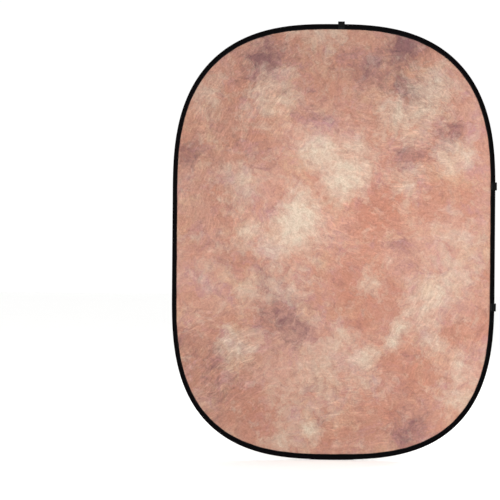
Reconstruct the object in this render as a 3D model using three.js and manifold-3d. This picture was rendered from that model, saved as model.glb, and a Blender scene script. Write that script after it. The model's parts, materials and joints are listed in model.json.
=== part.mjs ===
// Collapsible photographic backdrop panel: two sheets of muslin sewn into a black rim sleeve that
// holds a closed hoop of flat spring steel. Millimetres, +Z up, +X to the right, front facing -Y.
// The origin is on the floor under the middle of the panel, at the bottom of the rim.
// The hoop folds at mid-height, so what crosses that line is an upper and a lower piece.
import * as THREE from "three";
import { mergeVertices } from "three/addons/utils/BufferGeometryUtils.js";
import Module from "manifold-3d";

const wasm = await Module();
wasm.setup();

// ---- Driving dimensions ----------------------------------------------------------------------
const PANEL_WIDTH = 1482; // over the rim sleeve
const PANEL_HEIGHT = 2000; // over the rim sleeve
const SIDE_STRAIGHT = 460; // straight stretch of each long side
const TOP_POWER = 2.66; // roundness of the top end: 2 is an ellipse, more is squarer
const BOTTOM_POWER = 2.8; // the same of the bottom end, a little squarer as the hoop stands on it

const GAP = 0.3; // between pieces that lie on each other
const FOLD_GAP = 0.6; // between the upper and the lower half

const CLOTH_THICKNESS = 0.6;
const CLOTH_EDGE_INSET = 7; // raw cloth edge inside the sleeve, from the sleeve's outer face

const BAND_WIDTH = 10; // the flat steel stands on edge, front to back
const BAND_THICKNESS = 1;

const TAPE_THICKNESS = 0.8;
const TAPE_CORNER = 1.1; // bevel where the sleeve turns over the edge of the band
const RIM_WIDTH = 23; // sleeve seen from the front
const HEM_WIDTH = 9; // flat inner part of the sleeve, sewn through the cloth

const THREAD_WIDTH = 1;
const THREAD_THICKNESS = 0.5;
const SEAM_MARGIN = 2.5; // from the middle of the seam to the sleeve's inner edge

const FERRULE_LENGTH = 80;
const FERRULE_WALL = 0.5;
const RIVET_RADIUS = 1.5;
const RIVET_HEAD_RADIUS = 2.5;
const RIVET_HEAD_HEIGHT = 0.5;
const RIVET_SPACING = 16; // the two rivets of one band end
const BAND_END_GAP = 2; // between the butted ends of the band
const OPENING_MARGIN = 15; // from each end of the ferrule to the end of the sleeve tape
const COVER_LAP = 45; // of the patch that closes the sleeve there, over each end of the tape

const LOOP_TAPE = 1.2;
const LOOP_CORNER = 2.4;
const BARTACK_MARGIN = 5.5; // from the middle of the bartack to the sleeve's inner edge
const BARTACK_WIDTH = 2;
const BARTACK_THICKNESS = 0.6;
const TOP_LOOP = { width: 30, proud: 12 };
const SIDE_LOOP = { width: 36, proud: 7 };
const TOP_LOOP_OFFSET = 28; // to the right of the middle
const UPPER_SIDE_LOOP_ABOVE_FOLD = 260;
const LOWER_SIDE_LOOP_BELOW_FOLD = 296;

const ROUND_SIDES = 12; // of a rivet and its hole
const END_FLATS = 45; // flats of each rounded end: an odd count leaves a level one in the middle

// ---- Worked-out dimensions -------------------------------------------------------------------
const COVER_STANDOFF = GAP + TAPE_THICKNESS; // the cover lies on the sleeve and touches the floor
const MID_HEIGHT = COVER_STANDOFF + PANEL_HEIGHT / 2;
const HALF_WIDTH = PANEL_WIDTH / 2;
const SPRING_HEIGHT = SIDE_STRAIGHT / 2; // from mid-height to where the rounded end starts
const END_HEIGHT = PANEL_HEIGHT / 2 - SPRING_HEIGHT;

// From the sleeve's outer face inwards, at the joint: rivet head, ferrule wall, band.
const BAND_INSET = RIVET_HEAD_HEIGHT + GAP + FERRULE_WALL + GAP;
const BAND_MIDDLE = BAND_INSET + BAND_THICKNESS / 2;
const SLEEVE_OPENING = FERRULE_LENGTH + 2 * OPENING_MARGIN;
const COVER_LENGTH = SLEEVE_OPENING + 2 * COVER_LAP;
const SHOULDER = BAND_INSET + BAND_THICKNESS + GAP; // where the sleeve starts to taper
const HEM_START = RIM_WIDTH - HEM_WIDTH;
const THREAD_INSET = RIM_WIDTH - SEAM_MARGIN;
const GRIP_INSET = THREAD_INSET - THREAD_WIDTH; // a clip holds the clean hem outside this
const BARTACK_INSET = RIM_WIDTH - BARTACK_MARGIN;
const SLEEVE_HALF = BAND_WIDTH / 2 + GAP; // half the hollow for the band, front to back
const CLOTH_BACK = GAP / 2; // each sheet's inner face, from the middle plane
const LIP_HALF = CLOTH_BACK + CLOTH_THICKNESS + GAP; // half the slot for the two sheets

// Layers over the sleeve's inner contour.
const SLEEVE_OUTER = TAPE_THICKNESS;
const OVER_SLEEVE = SLEEVE_OUTER + GAP;
const COVER_OUTER = OVER_SLEEVE + TAPE_THICKNESS;
const UNDER_LOOP = OVER_SLEEVE + THREAD_THICKNESS + GAP;
const LOOP_OUTER = UNDER_LOOP + LOOP_TAPE;

// ---- The rim's outline -----------------------------------------------------------------------
// One rounded end, half a superellipse from one long side over to the other, anticlockwise from
// the front: the top end runs right to left, the bottom end left to right.
class RoundedEnd extends THREE.Curve {
  constructor(up) {
    super();
    this.up = up;
    this.power = up > 0 ? TOP_POWER : BOTTOM_POWER;
  }
  getPoint(t, target = new THREE.Vector3()) {
    const angle = Math.PI * t;
    const across = Math.abs(Math.cos(angle)) / HALF_WIDTH;
    const along = Math.abs(Math.sin(angle)) / END_HEIGHT;
    const reach = (across ** this.power + along ** this.power) ** (-1 / this.power);
    const x = reach * Math.cos(angle) * this.up;
    const z = (SPRING_HEIGHT + reach * Math.sin(angle)) * this.up;
    return target.set(x, 0, MID_HEIGHT + z);
  }
}

// The rim as a closed ring of flats, from the fold line on the right. Every piece along the rim
// follows the same flats, so pieces that lie on each other stay parallel.
const fold = (side) => new THREE.Vector3(side * HALF_WIDTH, 0, MID_HEIGHT);
const corners = [
  fold(1),
  ...new RoundedEnd(1).getSpacedPoints(END_FLATS),
  fold(-1),
  ...new RoundedEnd(-1).getSpacedPoints(END_FLATS),
  fold(1),
];
const rim = new THREE.CurvePath();
corners.slice(1).forEach((corner, i) => rim.add(new THREE.LineCurve3(corners[i], corner)));
const RIM_LENGTH = rim.getLength();
const UPPER_LENGTH = rim.getCurveLengths()[END_FLATS + 1]; // as far as the fold line on the left

// Places on the rim, by length along it from the fold line on the right.
const TOP = UPPER_LENGTH / 2;
const LEFT_FOLD = UPPER_LENGTH;
const BOTTOM = (UPPER_LENGTH + RIM_LENGTH) / 2;
const TOP_LOOP_PLACE = TOP - TOP_LOOP_OFFSET;
const UPPER_SIDE_LOOP_PLACE = UPPER_SIDE_LOOP_ABOVE_FOLD;
const LOWER_SIDE_LOOP_PLACE = RIM_LENGTH - LOWER_SIDE_LOOP_BELOW_FOLD;

// A stretch of the rim, with a station at each corner that it passes. Sections swept along it stay
// upright: their x runs to the front, their y outwards.
class Stretch extends THREE.Curve {
  constructor(from, to) {
    super();
    const passed = rim.getCurveLengths().filter((at) => at > from + GAP && at < to - GAP);
    const stations = [from, ...passed, to];
    this.points = stations.map((at) => rim.getPoint(at / RIM_LENGTH));
    this.steps = stations.length - 1;
  }
  getPoint(t, target = new THREE.Vector3()) {
    const at = Math.min(Math.floor(t * this.steps), this.steps - 1);
    return target.lerpVectors(this.points[at], this.points[at + 1], t * this.steps - at);
  }
  getSpacedPoints() {
    return this.points;
  }
  computeFrenetFrames() {
    const forward = new THREE.Vector3(0, -1, 0);
    const last = this.steps;
    const tangents = this.points.map((_, i) => {
      const before = this.points[Math.max(i - 1, 0)];
      const after = this.points[Math.min(i + 1, last)];
      const arriving = this.points[i].clone().sub(before).normalize();
      const leaving = after.clone().sub(this.points[i]).normalize();
      return arriving.add(leaving).normalize();
    });
    const binormals = tangents.map((tangent) => new THREE.Vector3().crossVectors(tangent, forward));
    return { tangents, normals: tangents.map(() => forward), binormals };
  }
}

function sweep(section, from, to) {
  const extrudePath = new Stretch(from, to);
  const options = { extrudePath, steps: extrudePath.steps, bevelEnabled: false };
  return new THREE.ExtrudeGeometry(new THREE.Shape(section), options);
}

// ---- Sections --------------------------------------------------------------------------------
const point = (forward, inset) => new THREE.Vector2(forward, -inset);
const mirrored = (points) => points.map((p) => new THREE.Vector2(-p.x, p.y));

// A tape folded over the rim and ending flush with the sleeve. `inner` and `outer` are its two
// faces: each has its offset from the sleeve's inner contour, the inset of its edge face and the
// bevel there. A `crease` divides the hem where the clean grip ends.
function foldedTape(inner, outer) {
  const contour = ({ offset, face, corner = 0, crease = 0 }) => {
    const half = SLEEVE_HALF + offset;
    const lip = LIP_HALF + offset;
    return [
      point(half - corner, face),
      ...(corner ? [point(half, face + corner)] : []),
      point(half, SHOULDER),
      point(lip, HEM_START),
      ...(crease ? [point(lip, crease)] : []),
      point(lip, RIM_WIDTH),
    ];
  };
  const front = [...contour(outer), ...contour(inner).reverse()];
  return [...front, ...mirrored(front).reverse()];
}

// A strip that lies `above` the sleeve's inner contour on the hem, on the front or on the back.
function hemStrip(side, above, thickness, inset, width) {
  const near = LIP_HALF + above;
  const far = near + thickness;
  const strip = [
    point(near, inset - width / 2),
    point(near, inset + width / 2),
    point(far, inset + width / 2),
    point(far, inset - width / 2),
  ];
  return side === "front" ? strip : mirrored(strip).reverse();
}

function rectangle(halfAcross, fromInset, toInset) {
  return [
    point(-halfAcross, fromInset),
    point(-halfAcross, toInset),
    point(halfAcross, toInset),
    point(halfAcross, fromInset),
  ];
}

// ---- Booleans --------------------------------------------------------------------------------
function solidOf(geometry) {
  const bare = geometry.clone();
  bare.deleteAttribute("normal");
  bare.deleteAttribute("uv");
  const merged = mergeVertices(bare, 1e-3);
  const vertProperties = merged.attributes.position.array;
  const triVerts = new Uint32Array(merged.index.array);
  return new wasm.Manifold(new wasm.Mesh({ numProp: 3, vertProperties, triVerts }));
}

function geometryOf(solid) {
  const { vertProperties, triVerts } = solid.getMesh();
  return new THREE.BufferGeometry()
    .setAttribute("position", new THREE.BufferAttribute(vertProperties, 3))
    .setIndex(new THREE.BufferAttribute(triVerts, 1));
}

function cut(geometry, tools) {
  const solid = tools.reduce((left, tool) => left.subtract(solidOf(tool)), solidOf(geometry));
  return geometryOf(solid);
}

// ---- Materials -------------------------------------------------------------------------------
const material = (color, roughness, metalness = 0) =>
  new THREE.MeshStandardMaterial({ color, roughness, metalness });
const paintedMuslin = material(0xc9987f, 0.95);
const reverseMuslin = material(0x8d8276, 0.95);
const polyesterTape = material(0x101011, 0.85);
const webbing = material(0x17171a, 0.8);
const thread = material(0x1b1b1e, 0.7);
const springSteel = material(0x5c6166, 0.35, 1);
const zincSteel = material(0xb4b7ba, 0.4, 1);

// ---- Assembly --------------------------------------------------------------------------------
const panel = new THREE.Group();
const upperHalf = new THREE.Group();
const lowerHalf = new THREE.Group();
panel.add(upperHalf, lowerHalf);

function place(half, name, geometry, surface) {
  const mesh = new THREE.Mesh(geometry, surface);
  mesh.name = name;
  half.add(mesh);
  return mesh;
}

// The two stretches of the rim that the fold line leaves, clear of it at both ends.
const UPPER = { from: FOLD_GAP / 2, to: LEFT_FOLD - FOLD_GAP / 2 };
const LOWER = { from: LEFT_FOLD + FOLD_GAP / 2, to: RIM_LENGTH - FOLD_GAP / 2 };

// Half a sheet of cloth, cut to the rim's outline. `behind` is its rear face, from the middle plane.
function clothHalf({ from, to }, behind) {
  const stretch = new Stretch(from, to);
  const outwards = stretch.computeFrenetFrames().binormals;
  const edge = stretch.points.map((p, i) => p.addScaledVector(outwards[i], -CLOTH_EDGE_INSET));
  const outline = new THREE.Shape(edge.map((p) => new THREE.Vector2(p.x, p.z)));
  const options = { depth: CLOTH_THICKNESS, bevelEnabled: false };
  const sheet = new THREE.ExtrudeGeometry(outline, options);
  return sheet.rotateX(Math.PI / 2).translate(0, behind, 0);
}

function addCloth(half, suffix, stretch) {
  const front = clothHalf(stretch, -CLOTH_BACK);
  const back = clothHalf(stretch, CLOTH_BACK + CLOTH_THICKNESS);
  place(half, `front_cloth_${suffix}`, front, paintedMuslin);
  place(half, `back_cloth_${suffix}`, back, reverseMuslin);
}

// The sleeve tape and, between `seamFrom` and `seamTo`, the thread on its front and back.
function addSleeve(half, suffix, { from, to }, seamFrom = from, seamTo = to) {
  const inner = { offset: 0, face: TAPE_THICKNESS };
  const outer = { offset: SLEEVE_OUTER, face: 0, corner: TAPE_CORNER, crease: GRIP_INSET };
  const section = foldedTape(inner, outer);
  place(half, `rim_sleeve_${suffix}`, sweep(section, from, to), polyesterTape);
  for (const side of ["front", "back"]) {
    const seam = hemStrip(side, OVER_SLEEVE, THREAD_THICKNESS, THREAD_INSET, THREAD_WIDTH);
    place(half, `${side}_seam_thread_${suffix}`, sweep(seam, seamFrom, seamTo), thread);
  }
}

// The patch over the sleeve's opening, with its own seam.
function addClosingCover(half) {
  const from = BOTTOM - COVER_LENGTH / 2;
  const to = BOTTOM + COVER_LENGTH / 2;
  const inner = { offset: OVER_SLEEVE, face: -GAP };
  const outer = { offset: COVER_OUTER, face: -COVER_STANDOFF, corner: TAPE_CORNER };
  const section = foldedTape(inner, outer);
  place(half, "sleeve_closing_cover", sweep(section, from, to), polyesterTape);
  for (const side of ["front", "back"]) {
    const above = COVER_OUTER + GAP;
    const seam = hemStrip(side, above, THREAD_THICKNESS, THREAD_INSET, THREAD_WIDTH);
    place(half, `${side}_seam_thread_closing`, sweep(seam, from, to), thread);
  }
}

// A webbing loop round the rim and over its seam, sewn down by a bartack on each side.
function addHangingLoop(half, name, at, { width, proud }) {
  const from = at - width / 2;
  const to = at + width / 2;
  const inner = { offset: UNDER_LOOP, face: LOOP_TAPE - proud, corner: LOOP_CORNER };
  const outer = { offset: LOOP_OUTER, face: -proud, corner: LOOP_CORNER };
  place(half, name, sweep(foldedTape(inner, outer), from, to), webbing);
  const margin = width / 10;
  for (const side of ["front", "back"]) {
    const above = LOOP_OUTER + GAP;
    const tack = hemStrip(side, above, BARTACK_THICKNESS, BARTACK_INSET, BARTACK_WIDTH);
    const bar = sweep(tack, from + margin, to - margin);
    place(half, `${name}_${side}_bartack`, bar, thread);
  }
}

// ---- The joint of the band -------------------------------------------------------------------
const bandSection = rectangle(BAND_WIDTH / 2, BAND_INSET, BAND_INSET + BAND_THICKNESS);
const RIVET_NEAR = FERRULE_LENGTH / 4 - RIVET_SPACING / 2 + BAND_END_GAP / 4;
const RIVET_FAR = RIVET_NEAR + RIVET_SPACING;
const RIVET_PLACES = [-RIVET_FAR, -RIVET_NEAR, RIVET_NEAR, RIVET_FAR];

// Moves a geometry made round the Z axis to the middle of the band, with Z pointing outwards.
function onBand(geometry, at) {
  const stretch = new Stretch(at - GAP, at + GAP);
  const outwards = stretch.computeFrenetFrames().binormals[0];
  const turn = Math.atan2(outwards.x, outwards.z);
  const middle = stretch.getPoint(0.5).addScaledVector(outwards, -BAND_MIDDLE);
  return geometry.rotateY(turn).translate(middle.x, middle.y, middle.z);
}

function rivetHole(at) {
  const length = 4 * (FERRULE_WALL + GAP + BAND_THICKNESS);
  const radius = RIVET_RADIUS + GAP;
  const hole = new THREE.CylinderGeometry(radius, radius, length, ROUND_SIDES);
  return onBand(hole.rotateX(Math.PI / 2), at);
}

function rivet(at) {
  const under = BAND_THICKNESS / 2 + GAP + FERRULE_WALL + GAP; // under the head
  const top = under + RIVET_HEAD_HEIGHT;
  const profile = [
    new THREE.Vector2(0, -top),
    new THREE.Vector2(RIVET_HEAD_RADIUS, -top),
    new THREE.Vector2(RIVET_HEAD_RADIUS, -under),
    new THREE.Vector2(RIVET_RADIUS, -under),
    new THREE.Vector2(RIVET_RADIUS, under),
    new THREE.Vector2(RIVET_HEAD_RADIUS, under),
    new THREE.Vector2(RIVET_HEAD_RADIUS, top),
    new THREE.Vector2(0, top),
  ];
  return onBand(new THREE.LatheGeometry(profile, ROUND_SIDES).rotateX(Math.PI / 2), at);
}

// A flattened tube round both ends of the band: the space for the band is cut out of it.
function ferrule() {
  const from = BOTTOM - FERRULE_LENGTH / 2;
  const to = BOTTOM + FERRULE_LENGTH / 2;
  const room = BAND_WIDTH / 2 + GAP;
  const inset = BAND_INSET - GAP;
  const depth = BAND_INSET + BAND_THICKNESS + GAP;
  const wall = FERRULE_WALL;
  const outer = rectangle(room + wall, inset - wall, depth + wall);
  const hollow = rectangle(room, inset, depth);
  const tube = sweep(outer, from, to);
  const bore = sweep(hollow, from - RIVET_SPACING, to + RIVET_SPACING);
  return cut(tube, [bore, ...RIVET_PLACES.map((offset) => rivetHole(BOTTOM + offset))]);
}

function addBandJoint(half) {
  const holes = (side) =>
    RIVET_PLACES.filter((offset) => offset * side > 0).map((offset) => rivetHole(BOTTOM + offset));
  const left = sweep(bandSection, LOWER.from, BOTTOM - BAND_END_GAP / 2);
  const right = sweep(bandSection, BOTTOM + BAND_END_GAP / 2, LOWER.to);
  place(half, "spring_band_lower_left", cut(left, holes(-1)), springSteel);
  place(half, "spring_band_lower_right", cut(right, holes(1)), springSteel);
  place(half, "band_ferrule", ferrule(), zincSteel);
  RIVET_PLACES.forEach((offset, i) => {
    place(half, `ferrule_rivet_${i + 1}`, rivet(BOTTOM + offset), zincSteel);
  });
}

// ---- Upper half ------------------------------------------------------------------------------
addCloth(upperHalf, "upper", UPPER);
addSleeve(upperHalf, "upper", UPPER);
place(upperHalf, "spring_band_upper", sweep(bandSection, UPPER.from, UPPER.to), springSteel);
addHangingLoop(upperHalf, "top_loop", TOP_LOOP_PLACE, TOP_LOOP);
addHangingLoop(upperHalf, "upper_side_loop", UPPER_SIDE_LOOP_PLACE, SIDE_LOOP);

// ---- Lower half ------------------------------------------------------------------------------
addCloth(lowerHalf, "lower", LOWER);
const coverEdge = COVER_LENGTH / 2 + GAP;
const lowerLeft = { from: LOWER.from, to: BOTTOM - SLEEVE_OPENING / 2 };
const lowerRight = { from: BOTTOM + SLEEVE_OPENING / 2, to: LOWER.to };
addSleeve(lowerHalf, "lower_left", lowerLeft, LOWER.from, BOTTOM - coverEdge);
addSleeve(lowerHalf, "lower_right", lowerRight, BOTTOM + coverEdge, LOWER.to);
addClosingCover(lowerHalf);
addBandJoint(lowerHalf);
addHangingLoop(lowerHalf, "lower_side_loop", LOWER_SIDE_LOOP_PLACE, SIDE_LOOP);

export default panel;
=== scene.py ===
"""Collapsible backdrop panel: mottled muslin stretched in a taped rim over a sprung steel hoop.

Each operator builds one piece, or one group of like pieces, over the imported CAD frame, in metres.
The painted front faces -Y. The rim is measured along its outer face, from the fold line on the
right, anticlockwise as seen from the front.
"""

import json
import math

import bpy
import numpy as np
from bpy.props import FloatProperty, FloatVectorProperty, IntProperty, PointerProperty
from mathutils import Matrix, Vector, kdtree, noise


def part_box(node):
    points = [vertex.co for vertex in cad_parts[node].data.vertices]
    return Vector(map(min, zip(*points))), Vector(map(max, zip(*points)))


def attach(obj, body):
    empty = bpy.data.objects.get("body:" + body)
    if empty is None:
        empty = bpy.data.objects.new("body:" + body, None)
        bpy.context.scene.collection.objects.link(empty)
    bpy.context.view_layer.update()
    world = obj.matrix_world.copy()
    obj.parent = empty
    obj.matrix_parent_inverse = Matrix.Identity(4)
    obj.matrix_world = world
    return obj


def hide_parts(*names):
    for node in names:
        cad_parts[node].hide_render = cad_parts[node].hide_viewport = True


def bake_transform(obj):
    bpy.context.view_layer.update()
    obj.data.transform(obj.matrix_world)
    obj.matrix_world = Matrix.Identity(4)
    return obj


bl_info = {
    "name": "Collapsible Backdrop Panel",
    "version": (1, 0, 0),
    "blender": (4, 5, 0),
    "location": "View3D > Sidebar > Backdrop",
    "description": "Builds a pop-up muslin backdrop with its taped rim, hanging loops and stitching",
    "category": "Add Mesh",
}

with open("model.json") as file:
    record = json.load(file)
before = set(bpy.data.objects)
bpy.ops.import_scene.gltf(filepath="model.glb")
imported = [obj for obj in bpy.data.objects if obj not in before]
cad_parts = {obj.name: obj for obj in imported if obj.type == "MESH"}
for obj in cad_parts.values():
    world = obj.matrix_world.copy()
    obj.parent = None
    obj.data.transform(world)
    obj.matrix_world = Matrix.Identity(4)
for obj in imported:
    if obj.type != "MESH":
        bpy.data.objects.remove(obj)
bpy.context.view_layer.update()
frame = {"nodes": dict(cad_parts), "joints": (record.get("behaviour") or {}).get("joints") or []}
MM = 0.001

# ---- Sizes that the pieces share ---------------------------------------------------------------
SLEEVE_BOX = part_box("rim_sleeve_upper")
COVER_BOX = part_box("sleeve_closing_cover")
BAND_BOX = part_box("spring_band_upper")
FRONT_CLOTH_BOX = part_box("front_cloth_upper")
FOLD_PLACE = Vector(frame["joints"][0]["pos_m"])
FOLD_HEIGHT = FOLD_PLACE.z

HALF_WIDTH = SLEEVE_BOX[1][0]
HALF_HEIGHT = SLEEVE_BOX[1][2] - FOLD_HEIGHT
HALF_STRAIGHT = 0.230  # of each long side, above and below the fold line
TOP_POWER = 2.66  # roundness of the top end: 2 is an ellipse, more is squarer
BOTTOM_POWER = 2.8  # the same of the bottom end

SLEEVE_HALF_DEPTH = SLEEVE_BOX[1][1]
CLOTH_DEPTH = -(FRONT_CLOTH_BOX[0][1] + FRONT_CLOTH_BOX[1][1]) / 2  # from the middle plane
CLOTH_EDGE = HALF_WIDTH - FRONT_CLOTH_BOX[1][0]  # the raw edge's inset inside the sleeve
BAND_INSET = HALF_WIDTH - BAND_BOX[1][0]
HEM_DEPTH = 1.85 * MM  # of the sleeve's outer face, where it lies flat on the cloth
SEAM_MARGIN = 2.5 * MM  # from the seam to the sleeve's inner edge
LAYER = 0.3 * MM  # air between layers that lie on each other
COVER_HALF_LENGTH = (COVER_BOX[1][0] - COVER_BOX[0][0]) / 2
OPENING_HALF_LENGTH = 55 * MM  # where the sleeve is left open for the band's ferrule
BAND_END_GAP = 2 * MM


def linear(code):
    """The linear colour of an sRGB hex value."""
    channels = [int(code[i : i + 2], 16) / 255 for i in (1, 3, 5)]
    return [c / 12.92 if c <= 0.04045 else ((c + 0.055) / 1.055) ** 2.4 for c in channels]


def swatch(name, code, description):
    """A colour that a user may change."""
    return FloatVectorProperty(
        name=name, description=description, subtype="COLOR", min=0, max=1, default=linear(code)
    )


def length(name, default, description):
    """A length that a user may change."""
    return FloatProperty(name=name, description=description, default=default, unit="LENGTH")


class BackdropSizes(bpy.types.PropertyGroup):
    """Sizes that change how the soft pieces look, but not where they are."""

    side_rim_width: length(
        "Rim width at the sides", 21.5 * MM, "Width of the sleeve from the front, on the long sides"
    )
    end_rim_width: length(
        "Rim width at the ends", 24.5 * MM, "Width of the sleeve from the front, at top and bottom"
    )
    tape_thickness: length("Tape thickness", 0.8 * MM, "Thickness of the sleeve's tape")
    webbing_thickness: length("Webbing thickness", 1.2 * MM, "Thickness of the hanging loops")
    stitch_pitch: length("Stitch pitch", 6 * MM, "From one stitch of a seam to the next")
    pucker_height: length(
        "Pucker height", 1.6 * MM, "Height of the gathers that the seam pulls into the cloth"
    )
    crease_height: length(
        "Crease height", 3 * MM, "Height of the soft creases that storage leaves in the cloth"
    )
    billow_height: length(
        "Billow height", 5 * MM, "How far the middle of the cloth stands off its sheet's plane"
    )
    cloth_columns: IntProperty(
        name="Cloth columns",
        description="Cells across the width of a sheet of cloth; its height has a third more",
        default=150,
        min=12,
    )


class BackdropColours(bpy.types.PropertyGroup):
    """Colours of the dyes, tapes, threads, metals and the studio."""

    terracotta: swatch("Terracotta", "#A6735F", "Ground colour of the painted muslin")
    peach: swatch("Peach", "#B18777", "Lighter ground colour of the painted muslin")
    mauve: swatch("Mauve", "#9F7379", "Thin wash that turns the ground to lilac")
    straw: swatch("Straw", "#B8957A", "Thin wash that turns the ground to yellow")
    cream: swatch("Cream", "#BDAB98", "Sponged light clouds")
    dusk: swatch("Dusk", "#6F484B", "Sponged dark smudges")
    rust: swatch("Rust", "#A46C58", "Places where the terracotta was put on twice")
    taupe: swatch("Taupe", "#9A8B7C", "Plain-dyed reverse of the panel")
    tape: swatch("Tape", "#050405", "Polyester tape of the rim")
    webbing: swatch("Webbing", "#070708", "Webbing of the hanging loops")
    thread: swatch("Thread", "#141416", "Sewing thread")
    blued: swatch("Blued steel", "#4A535C", "Spring band")
    zinc: swatch("Zinc", "#B9BEC2", "Ferrule and rivets")
    studio: swatch("Studio white", "#FCFCFB", "Floor of the studio")


# ---- The rim as a line -------------------------------------------------------------------------
def rounded_end(up):
    """One rounded end of the rim, half a superellipse, as points about the fold line's middle."""
    end_height = HALF_HEIGHT - HALF_STRAIGHT
    power = TOP_POWER if up > 0 else BOTTOM_POWER
    angle = np.linspace(0, np.pi, 1201)
    across = np.abs(np.cos(angle)) / HALF_WIDTH
    along = np.abs(np.sin(angle)) / end_height
    reach = (across**power + along**power) ** (-1 / power)
    x = reach * np.cos(angle)
    z = HALF_STRAIGHT + reach * np.sin(angle)
    return np.column_stack([x, z]) * up


RIM_LINE = np.vstack(
    [[HALF_WIDTH, 0], rounded_end(1), [-HALF_WIDTH, 0], rounded_end(-1), [HALF_WIDTH, 0]]
)
RIM_MARKS = np.concatenate([[0], np.cumsum(np.hypot(*np.diff(RIM_LINE, axis=0).T))])
RIM_LENGTH = RIM_MARKS[-1]
LEFT_FOLD = RIM_MARKS[len(rounded_end(1)) + 1]
BOTTOM = (LEFT_FOLD + RIM_LENGTH) / 2


def rim_point(length):
    """Where the rim's outer face is at each length along it: x and height over the fold line."""
    at = np.mod(length, RIM_LENGTH)
    return np.stack([np.interp(at, RIM_MARKS, RIM_LINE[:, i]) for i in (0, 1)], axis=-1)


def rim_outward(length):
    """The direction straight out of the rim at each length along it, in its own plane."""
    step = 2 * MM
    tangent = rim_point(np.add(length, step)) - rim_point(np.subtract(length, step))
    tangent /= np.linalg.norm(tangent, axis=-1, keepdims=True)
    return np.stack([tangent[..., 1], -tangent[..., 0]], axis=-1)


def on_rim(length, forward, inset):
    """Points that stand `forward` of the middle plane and `inset` inside the rim's outer face."""
    length, forward, inset = np.broadcast_arrays(length, forward, inset)
    place = rim_point(length) - rim_outward(length) * inset[..., None]
    return np.stack([place[..., 0], -forward, FOLD_HEIGHT + place[..., 1]], axis=-1)


def rim_width(length):
    """The sleeve's width at each length: hand sewing leaves it wider at the top and the bottom."""
    sizes = bpy.context.scene.backdrop_sizes
    endwise = rim_outward(length)[..., 1] ** 2
    waver = 0.3 * MM * (np.sin(np.multiply(length, 31)) + np.sin(np.multiply(length, 73)))
    return sizes.side_rim_width + (sizes.end_rim_width - sizes.side_rim_width) * endwise + waver


# ---- Meshes ------------------------------------------------------------------------------------
def finish_piece(name, points, faces, weave, material, slot, sharp=40):
    """A piece from its points, faces and each face corner's place on the cloth, in metres."""
    mesh = bpy.data.meshes.new(name)
    mesh.from_pydata(np.asarray(points).tolist(), [], np.asarray(faces, dtype=object).tolist())
    layer = mesh.uv_layers.new(name="Weave")
    layer.data.foreach_set("uv", np.asarray(weave, dtype=np.float32).ravel())
    mesh.validate()
    mesh.shade_smooth()
    mesh.set_sharp_from_angle(angle=math.radians(sharp))
    mesh.materials.append(material)
    piece = bpy.data.objects.new(name, mesh)
    bpy.context.scene.collection.objects.link(piece)
    return piece


def lattice(rows, columns, joined):
    """Faces between a lattice's points, and each corner's row and column. joined closes each row."""
    cells_across = columns if joined else columns - 1
    row, column = np.meshgrid(np.arange(rows - 1), np.arange(cells_across), indexing="ij")
    corners = [(0, 0), (0, 1), (1, 1), (1, 0)]
    corner_rows = np.stack([row + r for r, _ in corners], axis=-1).reshape(-1, 4)
    corner_columns = np.stack([column + c for _, c in corners], axis=-1).reshape(-1, 4)
    return corner_rows * columns + corner_columns % columns, corner_rows, corner_columns


def tube(name, rings, along, around, material, slot, sharp=40):
    """A closed body through rings of points. along and around are its weave's two directions."""
    rows, columns = rings.shape[:2]
    faces, corner_rows, corner_columns = lattice(rows, columns, joined=True)
    weave = np.stack([along[corner_rows], around[corner_columns]], axis=-1).reshape(-1, 2)
    caps = [list(range(columns)), [(rows - 1) * columns + i for i in reversed(range(columns))]]
    cap_weave = [(along[0], around[i]) for i in caps[0]]
    cap_weave += [(along[-1], around[i - (rows - 1) * columns]) for i in caps[1]]
    weave = np.vstack([weave, cap_weave])
    points = rings.reshape(-1, 3)
    return finish_piece(name, points, [*faces.tolist(), *caps], weave, material, slot, sharp)


def girth(section):
    """The running length round a closed section, from its first point back to it."""
    sides = np.hypot(*np.diff(np.vstack([section, section[:1]]), axis=0).T)
    return np.concatenate([[0], np.cumsum(sides)])


def swept(name, lengths, section, material, slot):
    """A closed section of (forward, inset) points carried along the rim: section(length)."""
    sections = np.array([section(length) for length in lengths])
    rings = on_rim(lengths[:, None], sections[..., 0], sections[..., 1])
    return tube(name, rings, lengths, girth(sections[0]), material, slot)


def thickened(line, thickness):
    """A closed section round an open line of 2-D points."""
    tangent = np.gradient(line, axis=0)
    tangent /= np.linalg.norm(tangent, axis=1, keepdims=True)
    normal = np.column_stack([tangent[:, 1], -tangent[:, 0]])
    return np.vstack([line + normal * thickness / 2, (line - normal * thickness / 2)[::-1]])


def softened(line, rounds):
    """An open line with its corners cut again and again, its two ends kept."""
    for _ in range(rounds):
        near = line[:-1] * 0.75 + line[1:] * 0.25
        far = line[:-1] * 0.25 + line[1:] * 0.75
        cut = np.stack([near, far], axis=1).reshape(-1, line.shape[1])
        line = np.vstack([line[:1], cut[1:-1], line[-1:]])
    return line


def bend_at_fold(piece):
    """Bakes a piece's transform into its mesh; the piece is left on neither half of the hoop."""
    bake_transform(piece)


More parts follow.
